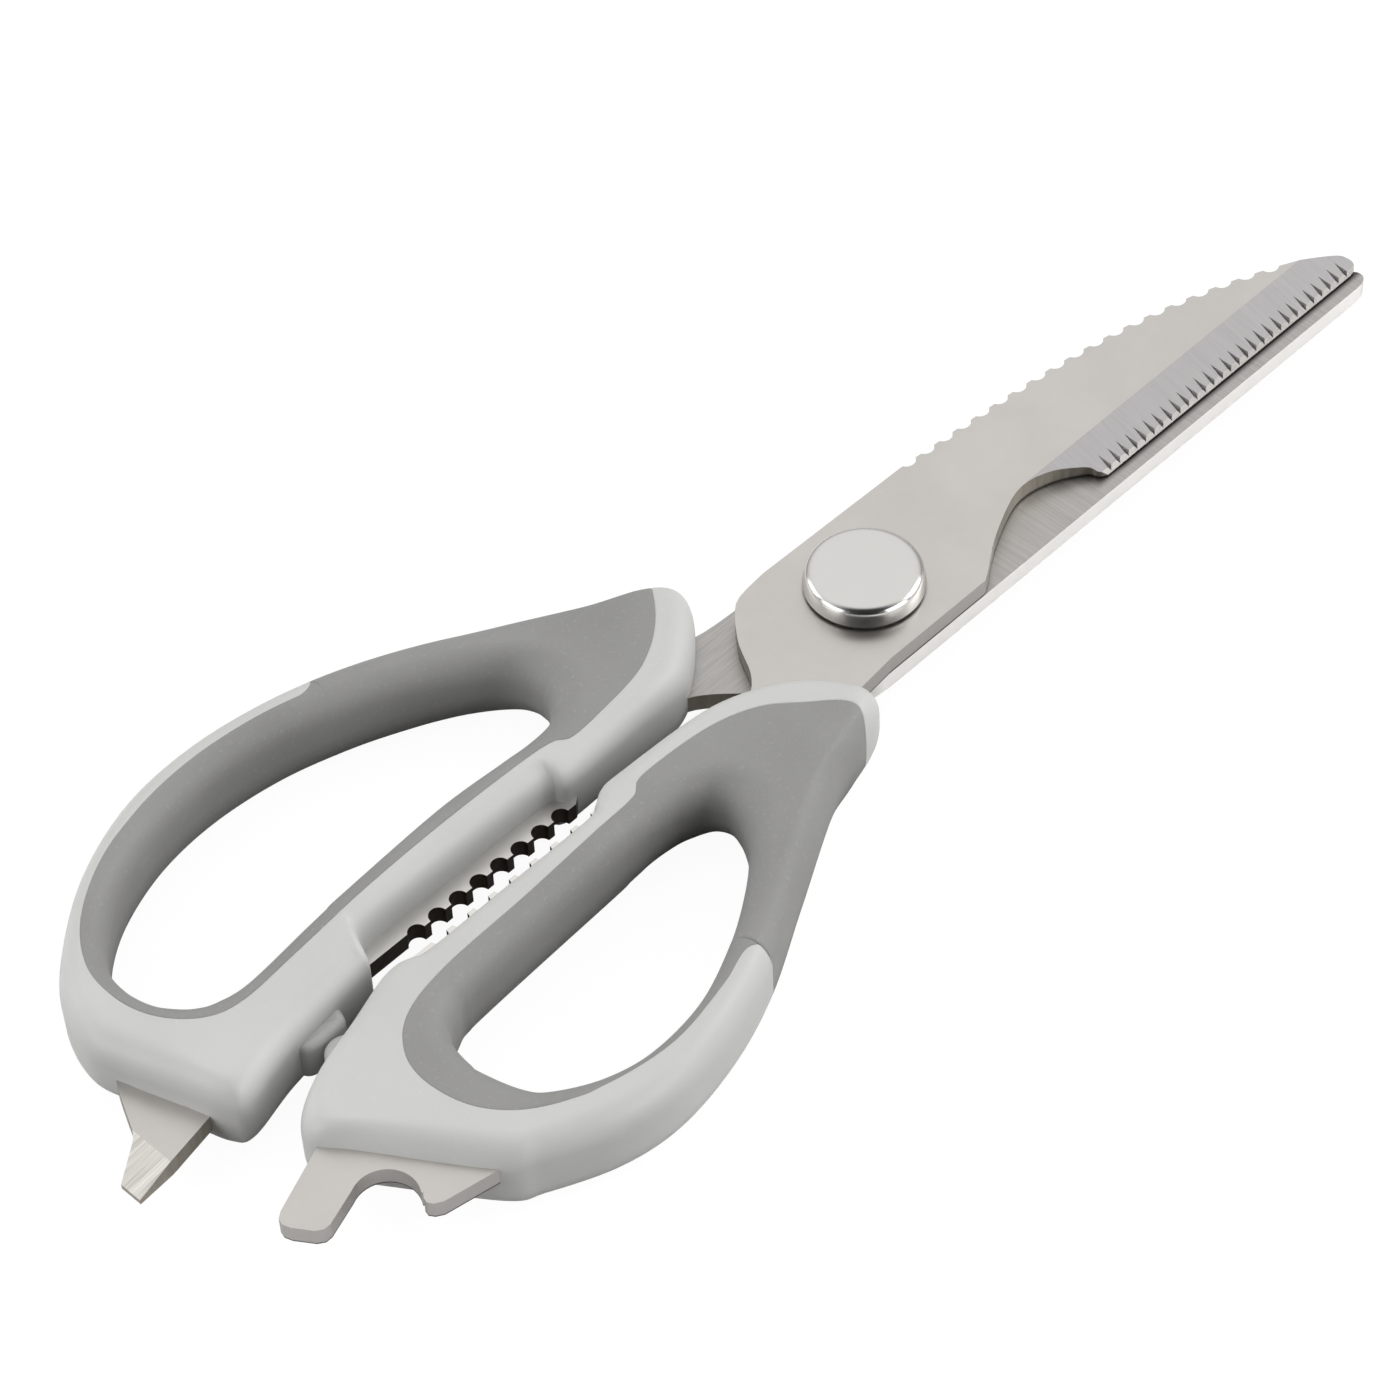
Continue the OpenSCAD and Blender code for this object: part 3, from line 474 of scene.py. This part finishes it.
def steel(name, upper):
    """Satin steel: faint clouds on the flat, fine lines across the ground faces, darker sheared edges.

    The cut walls between the nutcracker teeth are painted near-black as shade, and the flat beside them is
    brighter. On the upper blade the hone is bright, the wall under the bevel is painted near-black as a
    shadow line and the wall beside the pivot bright. On the lower blade the long outer edge is painted
    near-white as a reflection, a band in front is painted dark as shade, and lines run along the screwdriver."""
    f = Finish(name, Metallic=1.0)
    up = f.math("ABSOLUTE", f.split(f.normal)[2])
    x, y, z = f.split(f.coord)
    side = f.span(up, 0.6, 0.3)
    cross = f.noise((3200, 90, 90), 3, 0.6)
    cloud = f.noise((70, 70, 70), 4, 0.6)
    pits = f.noise((900, 900, 900), 2, 0.7)
    shear = f.noise((1100, 1100, 160), 3, 0.6)
    face = f.tint(f.span(cloud, 0.3, 0.7), (0.575, 0.555, 0.53, 1), (0.635, 0.615, 0.59, 1))
    face = f.tint(f.span(pits, 0.7, 0.85, 0, 0.25), face, (0.36, 0.34, 0.31, 1))
    sheared = f.tint(f.span(shear, 0.3, 0.7), (0.29, 0.265, 0.23, 1), (0.38, 0.355, 0.315, 1))
    jaw = f.math("MULTIPLY", f.span(x, -0.0995, -0.0985), f.span(x, -0.0545, -0.0555))
    face = f.tint(f.math("MULTIPLY", jaw, 0.8), face, (0.86, 0.845, 0.82, 1))
    if upper:
        lines = cross
        bright = f.math("MULTIPLY", f.span(y, -0.006, -0.009), f.span(x, 0.022, 0.016))
        sheared = f.tint(bright, sheared, (0.62, 0.60, 0.57, 1))
        mark = f.math("MULTIPLY", f.span(up, 0.9985, 0.995), f.span(up, 0.5, 0.7))
        ground = f.tint(f.span(cross, 0.3, 0.7), (0.43, 0.42, 0.425, 1), (0.48, 0.47, 0.475, 1))
        hone = f.math("MULTIPLY", f.span(z, 0.0073, 0.0075), f.span(y, -0.0094, -0.0097))
        # painted shade: the lowest part of the upper blade's side walls is near-black, a painted shadow line
        # in the gap under the edge
        under = f.tint(f.span(z, 0.0076, 0.0072), sheared, (0.05, 0.045, 0.04, 1))
        edge = f.tint(hone, under, (0.42, 0.41, 0.40, 1))
    else:
        slant = f.noise((150, 3200, 100), 3, 0.6, turn=(0, 0, math.radians(38)))
        along = f.noise((70, 2400, 100), 3, 0.7, turn=(0, 0, math.radians(-22)))
        back = f.span(x, -0.045, -0.055)
        lines = f.blend(back, f.blend(f.span(x, -0.002, 0.004), slant, cross), along)
        mark = f.math("SUBTRACT", 1.0, f.math("MULTIPLY", back, f.span(up, 0.995, 0.9995)), clamp=True)
        ground = f.tint(f.span(lines, 0.3, 0.7), (0.41, 0.40, 0.39, 1), (0.53, 0.515, 0.50, 1))
        # painted shade: a dark band on the ground face beside the upper blade's edge, a painted contact
        # shadow
        ground = f.tint(f.math("MULTIPLY", f.span(x, 0.038, 0.046), f.span(y, -0.0112, -0.0103)),
                        ground, (0.10, 0.095, 0.095, 1))
        filed = f.tint(f.span(lines, 0.35, 0.65), (0.58, 0.565, 0.53, 1), (0.86, 0.84, 0.80, 1))
        ground = f.tint(back, ground, filed)
        # painted reflection: the wall of the long outer edge is near-white, standing in for the bright
        # surroundings it reflects
        edge = f.tint(f.span(y, -0.0118, -0.0124), sheared, (0.97, 0.96, 0.95, 1))
    # painted shade: the cut walls between the teeth are near-black, standing in for the shadowed floor they
    # reflect
    jaw = f.math("MULTIPLY", jaw, f.span(f.math("ABSOLUTE", f.math("SUBTRACT", y, 0.0014)), 0.0072, 0.0066))
    edge = f.tint(jaw, edge, (0.045, 0.036, 0.028, 1))
    f.put(f.shader.inputs["Base Color"], f.tint(side, f.tint(mark, face, ground), edge))
    rough = f.blend(mark, f.span(cloud, 0.3, 0.7, 0.30, 0.38), f.span(lines, 0.2, 0.8, 0.34, 0.46))
    f.put(f.shader.inputs["Roughness"], f.blend(side, rough, f.span(shear, 0.2, 0.8, 0.36, 0.5)))
    height = f.blend(side, f.blend(mark, 0.5, lines), shear)
    f.put(f.shader.inputs["Normal"], f.bump(height, 0.00002, 0.3, f.bump(cloud, 0.00008, 0.2)))
    return f.mat


def chrome():
    """Polished cap: bright, with hair-fine polishing swirls and faint handling haze."""
    f = Finish("cap_polish", Metallic=1.0)
    haze = f.noise((220, 220, 220), 3, 0.6)
    swirl = f.noise((3000, 500, 500), 2, 0.6, turn=(0, 0, 0.6))
    f.put(f.shader.inputs["Base Color"], f.tint(haze, (0.655, 0.65, 0.64, 1), (0.70, 0.695, 0.685, 1)))
    f.put(f.shader.inputs["Roughness"], f.span(haze, 0.25, 0.75, 0.17, 0.25))
    f.put(f.shader.inputs["Normal"], f.bump(swirl, 0.000002, 0.15))
    return f.mat


def turned_steel():
    """Turned steel of the washer, screw and nut: rings about the pivot axis."""
    f = Finish("pivot_steel", Metallic=1.0)
    x, y, z = f.split(f.coord)
    radius = f.math("SQRT", f.math("ADD", f.math("MULTIPLY", x, x), f.math("MULTIPLY", y, y)))
    rings = f.node("TexNoise", set_noise_dimensions="1D", W=f.math("MULTIPLY", radius, 6000.0), Detail=2.0)
    cloud = f.noise((150, 150, 150), 3)
    f.put(f.shader.inputs["Base Color"], f.tint(cloud, (0.42, 0.41, 0.40, 1), (0.56, 0.55, 0.53, 1)))
    f.put(f.shader.inputs["Roughness"], f.span(rings, 0.2, 0.8, 0.28, 0.45))
    f.put(f.shader.inputs["Normal"], f.bump(rings, 0.00001, 0.4))
    return f.mat


SHELL, GRIP = shell_plastic(), soft_grip()
UPPER_STEEL, LOWER_STEEL = steel("upper_steel", True), steel("lower_steel", False)
CHROME, TURNED = chrome(), turned_steel()


def dress(obj, material, body, slot, *nodes):
    """Gives a piece its material and its body, and hides the CAD nodes that it stands for. The slot is not
    used.
    """
    obj.data.materials.clear()
    obj.data.materials.append(material)
    if body:
        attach(obj, body)
    if nodes:
        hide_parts(*nodes)
    return obj


def paint(node, material):
    """Gives a CAD node the material in all of its slots."""
    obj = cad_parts[node]
    for s in obj.material_slots:
        s.material = material
    if not obj.material_slots:
        obj.data.materials.append(material)


# ---------------------------------------------------------------- handles
for half, table, seam, cover in (
    ("finger", FINGER_SECTIONS, FINGER_SEAM, FINGER_COVER),
    ("thumb", THUMB_SECTIONS, THUMB_SEAM, THUMB_COVER),
):
    area = np.vstack([smooth(seam, 16, False), cover])
    rings, reach = even_sections(table, area)
    grip = grip_skin(half + "_soft_grip", rings, reach)
    dress(grip, GRIP, half + "_half", "soft_grip", half + "_grip")
    shell = shell_skin(half + "_hard_shell", rings, reach)
    dress(shell, SHELL, half + "_half", "shell_plastic", half + "_shell")

stop = boss("finger_stop_block", [
    [-114, 4], [-113.6, 1.6], [-112.6, -0.6], [-112, -1.3], [-111, -1.7], [-109.4, -1.85], [-107.4, -1.85],
    [-105.8, -1.7], [-104.9, -1.2], [-104.2, 0.4], [-103.6, 2.4], [-103.4, 4], [-106, 5], [-111, 5],
], STOP_LOW, STOP_HIGH, STOP_EDGE)
dress(stop, SHELL, "finger_half", "shell_plastic")
bump = boss("thumb_stop_bump", [
    [-111.9, -5.6], [-111.3, -3.9], [-110.2, -2.7], [-108.5, -2.2], [-106.8, -2.7], [-105.7, -3.9],
    [-105.1, -5.6], [-105.7, -7.4], [-108.5, -8.6], [-111.3, -7.4],
], STOP_LOW, STOP_HIGH, STOP_EDGE)
dress(bump, SHELL, "thumb_half", "shell_plastic")

# ---------------------------------------------------------------- pivot
cap = lathe("pivot_cap_polished", np.vstack([
    [[0, 11.9], [5.5, 11.9], [5.5, 10.62], [8.85, 10.62]],
    arc(8.85, 10.8, 0.23, 0.18, -90, 0, 5),
    arc(7.27, 12.48, 1.5, 1.3, 4, 84, 28),
    [[7.2, 13.785], [6.0, 13.79], [3.0, 13.793], [0, 13.795]],
]))
dress(cap, CHROME, "finger_half", "cap_polish", "pivot_cap")
paint("upper_blade", UPPER_STEEL)
paint("lower_blade", LOWER_STEEL)
for node in ("pivot_washer", "pivot_screw", "pivot_nut"):
    paint(node, TURNED)

# ---------------------------------------------------------------- floor, light and camera
mesh = bpy.data.meshes.new("floor")
mesh.from_pydata([(-4, -4, 0), (4, -4, 0), (4, 4, 0), (-4, 4, 0)], [], [(0, 1, 2, 3)])
floor = bpy.data.objects.new("floor", mesh)
bpy.context.scene.collection.objects.link(floor)
pale = Finish("pale_floor", Roughness=0.9)
path = pale.tree.nodes.new("ShaderNodeLightPath")
seen = pale.tree.nodes.new("ShaderNodeAddShader")
pale.put(seen.inputs[0], pale.node("Emission", Color=(1, 1, 1, 1), Strength=0.95))
pale.put(seen.inputs[1], pale.node("BsdfDiffuse", Color=(0.09, 0.09, 0.09, 1)))
dim = pale.tint(path.outputs["Is Glossy Ray"], (0.06, 0.058, 0.055, 1), (0.97, 0.96, 0.95, 1))
pale.put(pale.shader.inputs["Base Color"], dim)
either = pale.tree.nodes.new("ShaderNodeMixShader")
pale.put(either.inputs[0], path.outputs["Is Camera Ray"])
pale.put(either.inputs[1], pale.shader.outputs[0])
pale.put(either.inputs[2], seen.outputs[0])
pale.put(pale.tree.nodes["Material Output"].inputs[0], either.outputs[0])
mesh.materials.append(pale.mat)

world = bpy.data.worlds.new("studio")
world.use_nodes = True
bpy.context.scene.world = world
sky = world.node_tree
dome = sky.nodes["Background"]
coord = sky.nodes.new("ShaderNodeTexCoord")


def sky_ramp(direction, low, high, bottom, top):
    """Brightness over the sky: from bottom to top as the cosine to a direction goes from low to high."""
    lean = sky.nodes.new("ShaderNodeVectorMath")
    lean.operation = "DOT_PRODUCT"
    lean.inputs[1].default_value = direction
    sky.links.new(coord.outputs["Generated"], lean.inputs[0])
    ramp = sky.nodes.new("ShaderNodeMapRange")
    ramp.interpolation_type = "SMOOTHSTEP"
    for key, value in (("From Min", low), ("From Max", high), ("To Min", bottom), ("To Max", top)):
        ramp.inputs[key].default_value = value
    sky.links.new(lean.outputs["Value"], ramp.inputs["Value"])
    return ramp.outputs[0]


both = sky.nodes.new("ShaderNodeMath")
both.operation = "MULTIPLY"
sky.links.new(sky_ramp((0.22, 0.22, 0.95), -0.05, 0.95, 0.04, 1.0), both.inputs[0])
sky.links.new(sky_ramp((-0.48, -0.50, 0.72), 0.64, 0.93, 1.0, 0.03), both.inputs[1])
sky.links.new(both.outputs[0], dome.inputs[1])
dome.inputs[0].default_value = (1, 0.992, 0.98, 1)


def softbox(name, at, size, glow, aim=(-0.02, 0, 0.005)):
    """Square soft light of a brightness, at a place, turned towards the shears."""
    light = bpy.data.lights.new(name, "AREA")
    light.size = size
    light.energy = glow * math.pi * size * size
    obj = bpy.data.objects.new(name, light)
    direction = Vector(aim) - Vector(at)
    obj.matrix_world = Matrix.Translation(at) @ direction.to_track_quat("-Z", "Y").to_matrix().to_4x4()
    bpy.context.scene.collection.objects.link(obj)


softbox("left", (-1.25, 0.30, 0.34), 0.8, 3.6)
softbox("far", (-0.65, 1.10, 0.50), 0.8, 1.6)
softbox("front", (0.20, -1.27, 0.34), 0.8, 4.0)
softbox("right", (0.98, -0.68, 0.62), 0.8, 3.2)

ELEVATION, ROLL, DISTANCE = math.radians(48.585), math.radians(-2.924), 645.96 * MM
AIM = Vector((-32.14, 2.28, BLADE_TOP)) * MM
plan_right, plan_up = Vector((0.7193, -0.6947, 0)), Vector((0.6947, 0.7193, 0))
level_up = plan_up * math.sin(ELEVATION) + Vector((0, 0, math.cos(ELEVATION)))
back = -plan_up * math.cos(ELEVATION) + Vector((0, 0, math.sin(ELEVATION)))
right = plan_right * math.cos(ROLL) + level_up * math.sin(ROLL)
up = -plan_right * math.sin(ROLL) + level_up * math.cos(ROLL)
camera = bpy.data.objects.new("camera", bpy.data.cameras.new("camera"))
camera.data.lens = 116.73
camera.data.sensor_width = 36
place_at = AIM + back * DISTANCE
camera.matrix_world = Matrix((
    (right.x, up.x, back.x, place_at.x),
    (right.y, up.y, back.y, place_at.y),
    (right.z, up.z, back.z, place_at.z),
    (0, 0, 0, 1),
))
bpy.context.scene.collection.objects.link(camera)
bpy.context.scene.camera = camera
bpy.context.scene.view_settings.view_transform = "Standard"
